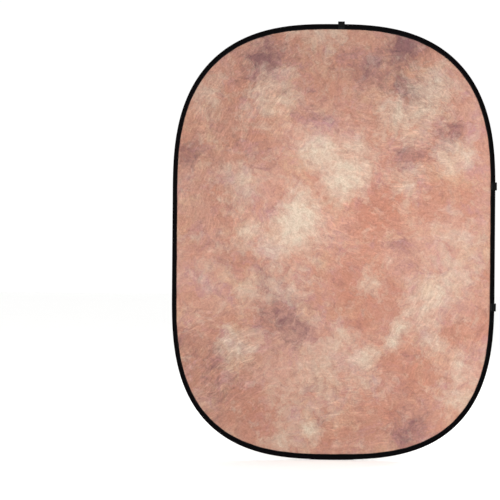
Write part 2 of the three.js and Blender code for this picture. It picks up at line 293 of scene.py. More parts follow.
def thread_stitches(name, middles, ahead, side, size, material):
    """Stitches as one piece: each arches over its middle, and dips into the cloth at both ends.

    Each runs toward its place in ahead. side is 1 on the front and -1 on the back.
    """
    length, thickness = size
    runs = ahead - middles
    runs /= np.linalg.norm(runs, axis=1, keepdims=True)
    rises = np.tile([0.0, -side, 0.0], (len(middles), 1))
    # Along the stitch as a share of its length, and its height and radius in thread thicknesses.
    arch = [(-0.5, -0.35, 0.3), (-0.25, 0.2, 0.5), (0.25, 0.2, 0.5), (0.5, -0.35, 0.3)]
    sides = 5
    turn = np.arange(sides) * 2 * np.pi / sides
    template = []
    for run, rise, r in arch:
        for a in turn:
            bulge = math.sin(a) * r * thickness
            template.append((run * length, bulge, (rise + math.cos(a) * r) * thickness))
    template = np.array(template)
    axes = runs, np.cross(rises, runs), rises
    turned = [template[:, i, None] * axis[:, None, :] for i, axis in enumerate(axes)]
    points = middles[:, None, :] + sum(turned)
    faces, corner_rows, corner_columns = lattice(len(arch), sides, joined=True)
    last = (len(arch) - 1) * sides
    caps = [list(range(sides)), [last + i for i in reversed(range(sides))]]
    one = np.array([row[0] for row in arch]) * length
    twist = np.arange(sides + 1) / sides * math.pi * thickness
    weave = np.stack([one[corner_rows], twist[corner_columns]], axis=-1).reshape(-1, 2)
    weave = np.vstack([weave, np.zeros((2 * sides, 2))])
    weave = np.tile(weave, (len(middles), 1))
    every = [[v + i * len(template) for v in f] for i in range(len(middles)) for f in [*faces, *caps]]
    points = points.reshape(-1, 3)
    return finish_piece(name, points, every, weave, material, "thread", sharp=60)


# ---- Nodes -------------------------------------------------------------------------------------
def add(tree, kind, inputs=None, **settings):
    """Adds a node. inputs maps a socket's name or number to a value or to the socket that feeds it.

    A node among the inputs feeds its first output. A colour Mix has its factor at input 0, its two
    colours at inputs 6 and 7, and its result at output 2.
    """
    node = tree.nodes.new("ShaderNode" + kind)
    for setting, value in settings.items():
        setattr(node, setting, value)
    for socket, value in (inputs or {}).items():
        if isinstance(value, bpy.types.Node):
            value = value.outputs[0]
        if isinstance(value, bpy.types.NodeSocket):
            tree.links.new(value, node.inputs[socket])
        else:
            node.inputs[socket].default_value = value
    return node


def surface(name, finish):
    """A material, and the tree and Principled shader to finish it with: None if it is made already."""
    material = bpy.data.materials.get(name)
    if material:
        return material, None, None
    material = bpy.data.materials.new(name)
    material.use_nodes = True
    tree = material.node_tree
    tree.nodes.clear()
    shader = add(tree, "BsdfPrincipled", finish)
    add(tree, "OutputMaterial", {"Surface": shader})
    return material, tree, shader


def dress(tree, shader, colour, height, strength, depth):
    """Gives a shader its colour, and a relief of this depth."""
    bump = add(tree, "Bump", {"Height": height, "Strength": strength, "Distance": depth})
    tree.links.new(bump.outputs[0], shader.inputs["Normal"])
    tree.links.new(colour, shader.inputs["Base Color"])


def toned(tree, colour, tone):
    """A colour made lighter or darker: a tone of 1 leaves it as it is."""
    grey = add(tree, "CombineColor", {0: tone, 1: tone, 2: tone})
    inputs = {0: 1, 6: colour, 7: grey}
    return add(tree, "Mix", inputs, data_type="RGBA", blend_type="MULTIPLY").outputs[2]


def opaque(colour):
    """A colour property as a colour socket takes it."""
    return (*colour, 1)


# Marks that were sponged on by hand: right of the middle, height over the fold line, radius, all
# in metres, and strength.
CREAM_CLOUDS = [
    (-0.15, 0.13, 0.09, 0.9),
    (-0.19, 0.02, 0.10, 0.6),
    (-0.28, -0.03, 0.08, 0.35),
    (0.00, 0.27, 0.06, 0.6),
    (-0.10, 0.40, 0.07, 0.3),
    (0.10, 0.30, 0.06, 0.5),
    (-0.02, 0.38, 0.06, 0.5),
    (-0.42, 0.02, 0.06, 0.4),
    (0.10, 0.41, 0.09, 0.6),
    (-0.11, 0.41, 0.08, 0.5),
    (0.05, 0.23, 0.07, 0.4),
    (-0.45, 0.26, 0.09, 0.5),
    (-0.26, 0.68, 0.08, 0.5),
    (-0.37, 0.60, 0.07, 0.35),
    (-0.60, 0.67, 0.07, 0.5),
    (-0.03, 0.93, 0.06, 0.5),
    (-0.16, 0.94, 0.06, 0.4),
    (0.47, 0.73, 0.09, 0.65),
    (0.37, 0.58, 0.11, 0.6),
    (0.26, 0.60, 0.06, 0.4),
    (0.54, 0.40, 0.07, 0.6),
    (0.33, 0.26, 0.08, 0.5),
    (0.62, 0.41, 0.05, 0.4),
    (-0.39, 0.07, 0.04, 0.4),
    (-0.32, 0.76, 0.06, 0.3),
    (-0.44, -0.49, 0.07, 0.85),
    (-0.56, -0.16, 0.06, 0.3),
    (-0.38, -0.24, 0.07, 0.45),
    (-0.20, -0.21, 0.07, 0.45),
    (0.16, -0.52, 0.05, 0.8),
    (0.31, -0.39, 0.035, 0.9),
    (0.28, -0.46, 0.035, 0.9),
    (0.42, -0.28, 0.09, 0.6),
    (0.17, -0.19, 0.05, 0.6),
    (0.58, -0.03, 0.11, 0.45),
    (0.53, -0.20, 0.09, 0.4),
    (0.46, -0.45, 0.06, 0.6),
    (0.57, -0.55, 0.05, 0.6),
    (-0.02, -0.58, 0.11, 0.5),
    (-0.10, -0.88, 0.05, 0.9),
    (-0.23, -0.92, 0.07, 0.55),
    (0.03, -0.42, 0.06, 0.4),
    (0.58, -0.71, 0.09, 0.6),
    (-0.20, -0.75, 0.10, 0.35),
    (0.00, -0.76, 0.07, 0.3),
    (0.16, -0.65, 0.06, 0.4),
]
DUSKY_SMUDGES = [
    (0.29, 0.90, 0.07, 1.1),
    (0.38, 0.91, 0.06, 0.5),
    (-0.29, 0.87, 0.07, 0.7),
    (-0.40, 0.86, 0.05, 0.4),
    (-0.32, 0.83, 0.06, 0.4),
    (-0.38, 0.78, 0.06, 0.4),
    (0.16, 0.78, 0.07, 0.7),
    (0.31, 0.73, 0.07, 0.8),
    (0.38, 0.66, 0.06, 0.5),
    (0.55, 0.52, 0.06, 0.55),
    (0.53, 0.48, 0.06, 0.4),
    (0.33, 0.42, 0.06, 0.45),
    (0.38, 0.37, 0.06, 0.4),
    (0.46, 0.43, 0.06, 0.35),
    (-0.66, 0.42, 0.05, 0.6),
    (-0.67, 0.35, 0.05, 0.4),
    (-0.08, 0.60, 0.10, 0.35),
    (-0.11, 0.38, 0.06, 0.3),
    (-0.02, 0.31, 0.06, 0.25),
    (-0.33, 0.36, 0.06, 0.3),
    (-0.50, 0.57, 0.06, 0.25),
    (0.03, 0.82, 0.06, 0.3),
    (-0.26, -0.30, 0.10, 0.5),
    (-0.20, -0.38, 0.10, 0.35),
    (-0.32, -0.15, 0.08, 0.4),
    (-0.15, -0.44, 0.07, 0.35),
    (-0.55, -0.55, 0.08, 0.4),
    (-0.68, -0.45, 0.06, 0.4),
    (-0.52, -0.71, 0.08, 0.3),
    (-0.07, -0.66, 0.05, 0.4),
    (-0.04, -0.83, 0.03, 0.6),
    (0.30, -0.84, 0.07, 0.5),
    (0.40, -0.82, 0.04, 0.6),
    (0.36, -0.91, 0.06, 0.8),
    (0.31, -0.05, 0.06, 0.4),
    (0.36, -0.73, 0.06, 0.25),
    (-0.51, -0.07, 0.08, 0.3),
]
RUST_PATCHES = [
    (0.21, 0.18, 0.12, 0.8),
    (0.17, 0.07, 0.11, 0.6),
    (0.45, 0.14, 0.08, 0.5),
    (0.63, 0.22, 0.06, 0.4),
    (-0.55, 0.20, 0.10, 0.4),
    (-0.37, 0.52, 0.10, 0.35),
    (0.07, 0.61, 0.09, 0.3),
    (0.22, 0.43, 0.09, 0.5),
    (0.07, -0.15, 0.12, 0.6),
    (0.24, -0.23, 0.13, 0.6),
    (0.10, -0.33, 0.12, 0.5),
    (0.35, -0.58, 0.12, 0.7),
    (-0.36, -0.81, 0.13, 0.7),
    (0.26, -0.75, 0.10, 0.5),
    (0.03, -0.90, 0.12, 0.4),
    (0.64, -0.41, 0.08, 0.4),
    (-0.64, -0.06, 0.07, 0.5),
    (-0.50, 0.76, 0.09, 0.3),
    (0.17, 0.91, 0.10, 0.35),
]
# Broad areas of painted light and shade, in the same units; the last is how much lighter, as a share.
BROAD_PAINTED_LIGHT_AND_SHADE = [
    (-0.45, 0.90, 0.35, -0.12),
    (0.08, 0.95, 0.35, -0.18),
    (0.45, 0.88, 0.28, -0.10),
    (-0.62, 0.38, 0.30, -0.10),
    (-0.10, 0.12, 0.30, 0.08),
    (0.30, 0.12, 0.28, 0.06),
    (0.55, -0.05, 0.30, -0.03),
    (0.62, 0.75, 0.25, -0.04),
    (-0.28, -0.42, 0.25, -0.06),
    (-0.58, -0.80, 0.30, -0.08),
]
# Fans of fine creases that took less dye: middle, reach, the way they run in degrees, strength.
DYE_CREASES = [
    (-0.45, 0.60, 0.50, 64, 1.3),
    (-0.55, 0.12, 0.40, 70, 1.0),
    (-0.58, -0.60, 0.50, 35, 1.6),
    (-0.30, 0.85, 0.35, 30, 1.0),
    (0.30, 0.42, 0.50, -8, 1.4),
    (0.10, 0.05, 0.45, -22, 1.0),
    (0.40, 0.76, 0.40, -52, 1.1),
    (0.10, -0.76, 0.50, 5, 1.1),
    (0.45, -0.45, 0.45, 62, 1.0),
    (-0.22, 0.05, 0.40, -58, 0.8),
]


def marks_over(tree, where, marks, spread):
    """How strongly hand-made marks cover each place: each fades out at spread times its radius."""
    covered = 0.0
    for x, height, radius, strength in marks:
        away = add(tree, "VectorMath", {0: where, 1: (x, height, 0)}, operation="DISTANCE")
        fade = {"Value": away.outputs["Value"], "From Min": radius * spread, "From Max": 0}
        fade["To Max"] = strength
        mark = add(tree, "MapRange", fade, interpolation_type="SMOOTHSTEP")
        covered = add(tree, "Math", {0: covered, 1: mark}, operation="ADD")
    return covered


def grain(tree, where, start, scale, detail=8, roughness=0.68, distortion=0.2):
    """Cloudy noise from 0 to 1, with scale of its broadest clouds to a metre.

    Each start gives a pattern of its own.
    """
    moved = add(tree, "VectorMath", {0: where, 1: (start, start * 0.7, start)}, operation="ADD")
    inputs = {"Vector": moved, "Scale": scale, "Detail": detail}
    inputs.update({"Roughness": roughness, "Distortion": distortion})
    return add(tree, "TexNoise", inputs)


def crease_streaks(tree, where):
    """Light and dark strokes along the creases that the cloth was dyed in, about zero.

    The broadest are 100 mm long and 16 mm wide, and they break up into finer ones.
    """
    per_metre = 10, 62, 1
    usual = 0.07  # how far the noise is from its middle, on average
    strokes = 0.0
    for x, height, reach, degrees, strength in DYE_CREASES:
        along = {0: where, "Angle": math.radians(-degrees)}
        along = add(tree, "VectorRotate", along, rotation_type="Z_AXIS")
        along = add(tree, "VectorMath", {0: along, 1: per_metre}, operation="MULTIPLY")
        streak = grain(tree, along, degrees, 1, 4, 0.66, 0.6)
        streak = add(tree, "Math", {0: streak, 1: 0.5}, operation="SUBTRACT")
        streak = add(tree, "Math", {0: streak}, operation="ABSOLUTE")
        streak = add(tree, "Math", {0: streak, 1: usual}, operation="SUBTRACT")
        away = add(tree, "VectorMath", {0: where, 1: (x, height, 0)}, operation="DISTANCE")
        fade = {"Value": away.outputs["Value"], "From Min": reach, "From Max": reach * 0.2}
        fade["To Max"] = strength
        near = add(tree, "MapRange", fade, interpolation_type="SMOOTHSTEP")
        streak = {0: streak, 1: near, 2: strokes}
        strokes = add(tree, "Math", streak, operation="MULTIPLY_ADD")
    return strokes


def wave_scale(pitch):
    """The scale at which a wave texture repeats every pitch."""
    return math.pi / pitch / 10


def plain_weave(tree, where):
    """Height of the cotton's threads, over and under each other, with thick places, from 0 to 1.

    Muslin has a thread every 0.5 mm, too fine to show: they are drawn 1.5 mm apart.
    """
    along, across = 45, 500  # thick places to a metre: they are 22 mm long and 2 mm wide
    height = 0.0
    for direction, per_metre in (("X", (along, across, 1)), ("Y", (across, along, 1))):
        waver = {"Vector": where, "Scale": wave_scale(1.5 * MM), "Distortion": 0.8, "Detail": 1}
        yarn = add(tree, "TexWave", waver, bands_direction=direction).outputs[1]
        slub = add(tree, "VectorMath", {0: where, 1: per_metre}, operation="MULTIPLY")
        yarn = {0: yarn, 1: grain(tree, slub, 0, 1, 2), 2: height}
        height = add(tree, "Math", yarn, operation="MULTIPLY_ADD")
    return height


def fine_wrinkles(tree, where):
    """The finer of the creases left by coiling, 10 to 15 mm wide, as a height from 0 to 1."""
    wander = grain(tree, where, 8.8, 8, 2.5, 0.5, 0.9)
    wander = add(tree, "Math", {0: wander, 1: 0.5}, operation="SUBTRACT")
    wander = add(tree, "Math", {0: wander}, operation="ABSOLUTE")
    ridge = {"Value": wander, "From Min": 0.07, "From Max": 0}
    return add(tree, "MapRange", ridge, interpolation_type="SMOOTHERSTEP")


# Unsized cotton: dead matt, with a slight bloom of loose fibre at a grazing angle.
COTTON = {"Roughness": 0.93, "IOR": 1.45, "Sheen Weight": 0.12, "Sheen Roughness": 0.6}


def painted_muslin():
    """Cotton muslin, scrunched, dyed terracotta and sponged by hand.

    The dye pools into cloudy blooms with ragged edges and leaves fine streaks along the creases.
    """
    material, tree, shader = surface("Hand-sponged cotton muslin", COTTON)
    if not tree:
        return material
    colours = bpy.context.scene.backdrop_colours
    place = add(tree, "UVMap", uv_map="Weave")

    # The cloth was scrunched as it was dyed, so every mark is drawn a little out of its place, by
    # finer and finer folds. The strokes follow only the broadest.
    folds = [place]
    for scale, reach in ((3.1, 0.11), (10, 0.07), (31, 0.03)):
        drift = grain(tree, place, scale, scale, 3).outputs[1]
        drift = add(tree, "VectorMath", {0: drift, 1: (0.5, 0.5, 0.5)}, operation="SUBTRACT")
        moved = {0: drift, 1: (reach, reach, 0), 2: folds[-1]}
        folds.append(add(tree, "VectorMath", moved, operation="MULTIPLY_ADD"))
    creased, scrunched = folds[1], folds[-1]

    clouds = {"Value": grain(tree, scrunched, 1.3, 3.2), "From Min": 0.32, "From Max": 0.70}
    clouds = add(tree, "MapRange", clouds, interpolation_type="SMOOTHSTEP")
    ground = {0: clouds, 6: opaque(colours.terracotta), 7: opaque(colours.peach)}
    colour = add(tree, "Mix", ground, data_type="RGBA").outputs[2]

    # Each dye goes on over the last. It takes where its mark and the scrunched cloth's own grain
    # together are high, so its edges are ragged and flecks of it lie well away from the mark. A row
    # holds the marks and how far they spread, the dye, how ragged its edges are and how many clouds
    # they have to a metre, where it starts to take and where it is full, and how much it then hides.
    # A wash has no marks, and takes all over.
    layers = [
        ([], 0, colours.mauve, 1.5, 7, (0.0, 0.32), 0.9),
        ([], 0, colours.straw, 1.5, 6, (0.0, 0.32), 0.9),
        (RUST_PATCHES, 1.7, colours.rust, 2.4, 14, (0.0, 0.85), 0.8),
        (DUSKY_SMUDGES, 1.9, colours.dusk, 3.2, 20, (0.08, 1.08), 0.85),
        (CREAM_CLOUDS, 2.0, colours.cream, 2.8, 16, (0.04, 1.15), 0.95),
    ]
    for i, (marks, spread, dye, ragged, scale, (starts, full), most) in enumerate(layers):
        edge = {0: grain(tree, scrunched, 2.0 + i, scale, 8, 0.76), 1: ragged, 2: -0.5 * ragged}
        taken = add(tree, "Math", edge, operation="MULTIPLY_ADD")
        taken = {0: taken, 1: marks_over(tree, scrunched, marks, spread)}
        taken = add(tree, "Math", taken, operation="ADD")
        cover = {"Value": taken, "From Min": starts, "From Max": full, "To Max": most}
        cover = {0: add(tree, "MapRange", cover), 6: colour, 7: opaque(dye)}
        colour = add(tree, "Mix", cover, data_type="RGBA").outputs[2]

    # Light and dark of the cloth's colour, the first row broad painted light and shade and the rest
    # the dye's own: each pattern, its middle, and how much it counts.
    streaks = crease_streaks(tree, creased)
    weave = plain_weave(tree, place)
    tones = [
        (marks_over(tree, place, BROAD_PAINTED_LIGHT_AND_SHADE, 1.7), 0, 1),
        (grain(tree, scrunched, 9.1, 40, 6, 0.75), 0.5, 0.8),
        (streaks, 0, 1.35),
        (grain(tree, place, 4.4, 100, 5, 0.85), 0.5, 1.15),
        (weave, 0.5, 0.14),
    ]
    tone = 1.0
    for pattern, middle, strength in tones:
        part = {0: pattern, 1: strength, 2: -middle * strength}
        part = add(tree, "Math", part, operation="MULTIPLY_ADD")
        tone = add(tree, "Math", {0: tone, 1: part}, operation="ADD")

    height = add(tree, "Math", {0: streaks, 1: 4, 2: weave}, operation="MULTIPLY_ADD")
    height = {0: fine_wrinkles(tree, place), 1: 1.2, 2: height}
    height = add(tree, "Math", height, operation="MULTIPLY_ADD")
    dress(tree, shader, toned(tree, colour, tone), height, 0.5, 0.8 * MM)
    return material


def plain_muslin():
    """The same cotton, piece-dyed one colour: slightly uneven, with visible yarn."""
    material, tree, shader = surface("Piece-dyed cotton muslin", COTTON)
    if not tree:
        return material
    colours = bpy.context.scene.backdrop_colours
    place = add(tree, "UVMap", uv_map="Weave")
    clouds = {"Vector": place, "Scale": 5, "Detail": 6, "Roughness": 0.6}
    specks = {"Vector": place, "Scale": 150, "Detail": 2}
    weave = plain_weave(tree, place)
    tone = 0.80
    patterns = [(add(tree, "TexNoise", clouds), 0.28), (add(tree, "TexNoise", specks), 0.12)]
    for pattern, strength in (*patterns, (weave, 0.12)):
        tone = add(tree, "Math", {0: pattern, 1: strength, 2: tone}, operation="MULTIPLY_ADD")
    height = {0: fine_wrinkles(tree, place), 1: 3, 2: weave}
    height = add(tree, "Math", height, operation="MULTIPLY_ADD")
    dress(tree, shader, toned(tree, opaque(colours.taupe), tone), height, 0.5, 0.8 * MM)
    return material


def woven_tape(name, colour, rib_pitch, finish):
    """Black ribbed narrow fabric: ribs run across it, with a row of weft floats along it.

    The filaments catch the light on the crown of each rib and go dead black between them; that
    highlight is painted into the colour, greyer on each crown, and handling wear makes it uneven.
    """
    material, tree, shader = surface(name, finish)
    if not tree:
        return material
    place = add(tree, "UVMap", uv_map="Weave")
    ribs = {"Vector": place, "Scale": wave_scale(rib_pitch), "Distortion": 0.6, "Detail": 1}
    ribbing = add(tree, "TexWave", ribs, bands_direction="X").outputs[1]
    floats = add(tree, "TexWave", ribs, bands_direction="Y").outputs[1]
    handled = add(tree, "TexNoise", {"Vector": place, "Scale": 22, "Detail": 6})
    weave = add(tree, "Math", {0: ribbing, 1: floats}, operation="MULTIPLY")
    # Painted highlight: the colour goes greyer where ribs and floats rise, unevenly where handled, as
    # wear.
    lit_crowns_and_wear = add(tree, "Math", {0: weave, 1: handled}, operation="MULTIPLY")
    greyer = [0.6 * c + 0.4 * 0.008 for c in colour]
    shade = {0: lit_crowns_and_wear, 6: opaque(colour), 7: opaque(greyer)}
    shade = add(tree, "Mix", shade, data_type="RGBA").outputs[2]
    rough = add(tree, "MapRange", {"Value": handled, "To Min": 0.62, "To Max": 0.82})
    tree.links.new(rough.outputs[0], shader.inputs["Roughness"])
    dress(tree, shader, shade, weave, 0.6, 0.35 * MM)
    return material


def polyester_tape():
    """Grosgrain binding tape: a rib every 1.2 mm, and a soft synthetic sheen."""
    colours = bpy.context.scene.backdrop_colours
    finish = {"IOR": 1.55, "Specular IOR Level": 0.015}
    return woven_tape("Black grosgrain polyester tape", colours.tape, 1.2 * MM, finish)


def polypropylene_webbing():
    """Flat webbing: a coarser rib every 2 mm, a little shinier than the tape."""
    colours = bpy.context.scene.backdrop_colours
    finish = {"IOR": 1.49, "Specular IOR Level": 0.08}
    return woven_tape("Black polypropylene webbing", colours.webbing, 2 * MM, finish)


def bonded_thread():
    """Bonded polyester sewing thread: its three plies twist every 1.5 mm under a waxy coating."""
    finish = {"IOR": 1.55, "Specular IOR Level": 0.25}
    material, tree, shader = surface("Bonded polyester thread", finish)
    if not tree:
        return material
    colour = bpy.context.scene.backdrop_colours.thread
    place = {0: add(tree, "UVMap", uv_map="Weave"), "Angle": math.radians(35)}
    slanted = add(tree, "VectorRotate", place, rotation_type="Z_AXIS")
    plies = {"Vector": slanted, "Scale": wave_scale(1.5 * MM)}
    twist = add(tree, "TexWave", plies, bands_direction="X").outputs[1]
    # Painted highlight: the colour goes greyer along the top of each twisted ply.
    greyer = [0.6 * c + 0.4 * 0.03 for c in colour]
    shade = {0: twist, 6: opaque(colour), 7: opaque(greyer)}
    shade = add(tree, "Mix", shade, data_type="RGBA").outputs[2]
    rough = add(tree, "MapRange", {"Value": twist, "To Min": 0.7, "To Max": 0.5})
    tree.links.new(rough.outputs[0], shader.inputs["Roughness"])
    dress(tree, shader, shade, twist, 0.5, 0.1 * MM)
    return material


def rolled_metal(name, colour, smooth, rough, spangle, bends=False):
    """Rolled strip: fine lines along the rolling, and patches where its coating took unevenly.

    There are spangle patches to a metre, and a line is 17 mm long and 0.4 mm wide. On a piece that
    bends, both are drawn along its own length.
    """
    material, tree, shader = surface(name, {"Metallic": 1})
    if not tree:
        return material
    if bends:
        place = add(tree, "UVMap", uv_map="Weave").outputs[0]
    else:
        place = add(tree, "TexCoord").outputs["Object"]
    per_metre = 60, 2500, 2500
    drawn = add(tree, "VectorMath", {0: place, 1: per_metre}, operation="MULTIPLY")
    lines = add(tree, "TexNoise", {"Vector": drawn, "Scale": 1, "Detail": 2})
    patches = add(tree, "TexNoise", {"Vector": place, "Scale": spangle, "Detail": 4})
    darker = [c * 0.7 for c in colour]
    shade = {0: patches, 6: opaque(darker), 7: opaque(colour)}
    shade = add(tree, "Mix", shade, data_type="RGBA").outputs[2]
    worn = add(tree, "Math", {0: lines, 1: patches}, operation="MULTIPLY")
    worn = {"Value": worn, "From Max": 0.5, "To Min": smooth, "To Max": rough}
    tree.links.new(add(tree, "MapRange", worn).outputs[0], shader.inputs["Roughness"])
    dress(tree, shader, shade, lines, 0.2, 0.05 * MM)
    return material


def blued_spring_steel():
    """Hardened strip, tempered blue-grey in oil: dark, smooth and oily."""
    colour = bpy.context.scene.backdrop_colours.blued
    return rolled_metal("Blued rolled spring steel", colour, 0.22, 0.42, 40, bends=True)


def zinc_plated_steel():
    """Pressed sheet, bright zinc-plated: pale and slightly cloudy, with a fine spangle."""
    colour = bpy.context.scene.backdrop_colours.zinc
    return rolled_metal("Zinc-plated pressed steel", colour, 0.28, 0.5, 400)


# ---- Cloth -------------------------------------------------------------------------------------
def cloth_reach(direction, inset):
    """How far a sheet reaches from its middle along each direction, to inset inside the rim."""
    power = np.where(direction[..., 1] > 0, TOP_POWER, BOTTOM_POWER)
    x, z = np.abs(direction[..., 0]), np.abs(direction[..., 1])
    wide, high = HALF_WIDTH - inset, HALF_HEIGHT - HALF_STRAIGHT - inset
    near, far = np.zeros(x.shape), np.full(x.shape, HALF_WIDTH + HALF_HEIGHT)
    for _ in range(40):
        middle = (near + far) / 2
        across = middle * x / wide
        along = np.maximum(middle * z - HALF_STRAIGHT, 0) / high
        inside = across**power + along**power < 1
        near, far = np.where(inside, middle, near), np.where(inside, far, middle)
    return near


def cloth_lattice(columns, rows):
    """A lattice of places on a sheet, its outer ring on the raw edge: x, height over the fold."""
    across, up = np.meshgrid(np.linspace(-1, 1, columns), np.linspace(-1, 1, rows))
    share = np.maximum(np.maximum(np.abs(across), np.abs(up)), 1e-9)
    direction = np.stack([across / share * HALF_WIDTH, up / share * HALF_HEIGHT], axis=-1)
    direction[share < 1e-6] = (1, 0)
    direction /= np.linalg.norm(direction, axis=-1, keepdims=True)
    return direction * (share * cloth_reach(direction, CLOTH_EDGE))[..., None]


def storage_crease(x, z, seed):
    """How high, from 0 to 1, the creases left by coiling stand at a place on a sheet.

    They are sharp-backed ridges, 30 to 50 mm wide, along the lines where a wandering noise is 0.
    """
    per_metre = 3.4  # how many of the noise's broadest waves
    ridge = 0.13  # the noise at a ridge's foot
    spot = Vector((x, z, seed)) * per_metre
    spot += noise.noise_vector(spot * 1.3) * 0.35
    wander = noise.noise(spot) + 0.5 * noise.noise(spot * 2) + 0.2 * noise.noise(spot * 4)
    near = max(1 - abs(wander) / ridge, 0)
    return near * near * (3 - 2 * near)


def cloth_relief(places, seed, slack):
    """How far each place of a stretched sheet stands off its plane.

    The seam gathers the edge into puckers that die out inwards, the middle billows a little, and
    storage leaves creases that the hoop's pull hasn't drawn out: the more slack, the more is left.
    """
    sizes = bpy.context.scene.backdrop_sizes
    noise.seed_set(1)  # or the vectors of the noise, and the creases, would be new on every run
    sewn = 24 * MM  # from the rim's outer face: the cloth is held flat this far in
    rise, fade, crease_rise, billow_rise = 12 * MM, 75 * MM, 100 * MM, 250 * MM  # from there
    every = np.arange(0, RIM_LENGTH, 5 * MM)
    rim_tree = kdtree.KDTree(len(every))
    for i, (x, z) in enumerate(rim_point(every)):
        rim_tree.insert((x, z, 0), i)
    rim_tree.balance()
    relief = []
    for x, z in places:
        _, i, inset = rim_tree.find((x, z, 0))
        free = max(inset - sewn, 0)
        loose = min(free / billow_rise, 1)
        loose *= loose * (3 - 2 * loose)
        rhythm = every[i] * 21 + 1.6 * noise.noise((every[i] * 4, seed, 0))
        pucker = noise.noise((rhythm, seed * 3, free * 5)) + 0.35 * math.sin(rhythm * 2.3)
        pucker *= sizes.pucker_height * min(free / rise, 1) * math.exp(-free / fade)
        crease = sizes.crease_height * storage_crease(x, z, seed) * min(free / crease_rise, 1)
        billow = sizes.billow_height * (0.75 + 0.5 * noise.noise((x * 1.3, z * 1.3, seed)))
        relief.append(max(pucker, -0.2 * MM) + crease * slack + billow * loose)
    return np.array(relief)


def cloth_sheet(name, side, seed, slack, material, slot):
    """One sheet of the panel. side is 1 for the front and -1 for the back."""
    columns = bpy.context.scene.backdrop_sizes.cloth_columns + 1
    rows = columns * 4 // 3
    places = cloth_lattice(columns, rows).reshape(-1, 2)
    depth = CLOTH_DEPTH + cloth_relief(places, seed, slack)
    points = np.column_stack([places[:, 0], -side * depth, FOLD_HEIGHT + places[:, 1]])
    faces, _, _ = lattice(rows, columns, joined=False)
    if side < 0:
        faces = faces[:, ::-1]
    weave = places[faces.ravel()]
    sheet = finish_piece(name, points, faces, weave, material, slot, sharp=180)
    flat = 2 * (HALF_WIDTH - CLOTH_EDGE), 2 * (HALF_HEIGHT - CLOTH_EDGE)
    cut = RIM_LINE - rim_outward(RIM_MARKS) * CLOTH_EDGE
    area = abs(np.sum(cut[:-1, 0] * cut[1:, 1] - cut[1:, 0] * cut[:-1, 1])) / 2
    return sheet, flat, area


# ---- Rim ---------------------------------------------------------------------------------------
def tape_line(length, lift):
    """The middle of the sleeve's tape, (forward, inset), from the front hem round to the back.

    lift is how far this tape lies outside the sleeve's own.
    """
    sizes = bpy.context.scene.backdrop_sizes
    width = float(rim_width(length))
    half = sizes.tape_thickness / 2
    hem = HEM_DEPTH - half + lift
    deep = SLEEVE_HALF_DEPTH - half + lift
    face = half - lift
    front = [  # along the flat hem, over the band's edge and round the rim
        (hem, width),
        (hem, width - 5 * MM),
        (hem + 0.1 * MM, width - 9 * MM),
        (deep - 1.2 * MM, 7 * MM),
        (deep, 3.6 * MM),
        (deep - 0.3 * MM, face + 1.1 * MM),
        (deep - 2 * MM, face + 0.1 * MM),
        (0, face - 0.1 * MM),
    ]
    back = [(-forward, inset) for forward, inset in reversed(front[:-1])]
    return softened(np.array(front + back), 1)


def tape_section(length, lift=0.0):
    """The sleeve's tape as a closed section."""
    thickness = bpy.context.scene.backdrop_sizes.tape_thickness
    return thickened(tape_line(length, lift), thickness)


def seam(name, start, end, side, depth, material):
    """A row of stitches along the sleeve's hem. side is 1 on the front and -1 on the back."""
    pitch = bpy.context.scene.backdrop_sizes.stitch_pitch
    size = pitch * 0.78, 1 * MM
    lengths = np.arange(start, end, pitch)
    middles, ahead = (
        on_rim(at, side * depth, rim_width(at) - SEAM_MARGIN) for at in (lengths, lengths + MM)
    )
    return thread_stitches(name, middles, ahead, side, size, material)


class BACKDROP_OT_cloths(bpy.types.Operator):
    """Stretches the painted front cloth and the plain back cloth in the hoop"""

    bl_idname = "backdrop.cloths"
    bl_label = "Cloths"

    def execute(self, context):
        sheets = [
            ("front_muslin", 1, 2.0, 0.5, painted_muslin(), "painted_muslin", "front_cloth"),
            ("back_muslin", -1, 7.0, 1.0, plain_muslin(), "reverse_muslin", "back_cloth"),
        ]
        for name, side, seed, slack, material, slot, node in sheets:
            sheet, flat, area = cloth_sheet(name, side, seed, slack, material, slot)
            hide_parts(f"{node}_upper", f"{node}_lower")
            bend_at_fold(sheet)
        return {"FINISHED"}


class BACKDROP_OT_rim_sleeve(bpy.types.Operator):
    """Folds the rim's tape over the spring band, all round but for the opening at the bottom"""

    bl_idname = "backdrop.rim_sleeve"
    bl_label = "Rim sleeve"

    def execute(self, context):
        ends = BOTTOM + OPENING_HALF_LENGTH, BOTTOM - OPENING_HALF_LENGTH + RIM_LENGTH
        stations = 440  # one every 13 mm
        lengths = np.linspace(*ends, stations)
        sleeve = swept("rim_sleeve", lengths, tape_section, polyester_tape(), "polyester_tape")
        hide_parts("rim_sleeve_upper", "rim_sleeve_lower_left", "rim_sleeve_lower_right")
        bend_at_fold(sleeve)
        return {"FINISHED"}


class BACKDROP_OT_closing_cover(bpy.types.Operator):
    """Sews a patch of tape over the sleeve's opening, at the bottom"""

    bl_idname = "backdrop.closing_cover"
    bl_label = "Sleeve closing cover"

    def execute(self, context):
        lift = context.scene.backdrop_sizes.tape_thickness + LAYER
        stations = 41  # one every 5 mm
        ends = BOTTOM - COVER_HALF_LENGTH, BOTTOM + COVER_HALF_LENGTH
        lengths = np.linspace(*ends, stations)

        def section(length):
            return tape_section(length, lift)

        cover = swept("closing_cover", lengths, section, polyester_tape(), "polyester_tape")
        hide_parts("sleeve_closing_cover")
        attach(cover, "lower_half")
        return {"FINISHED"}


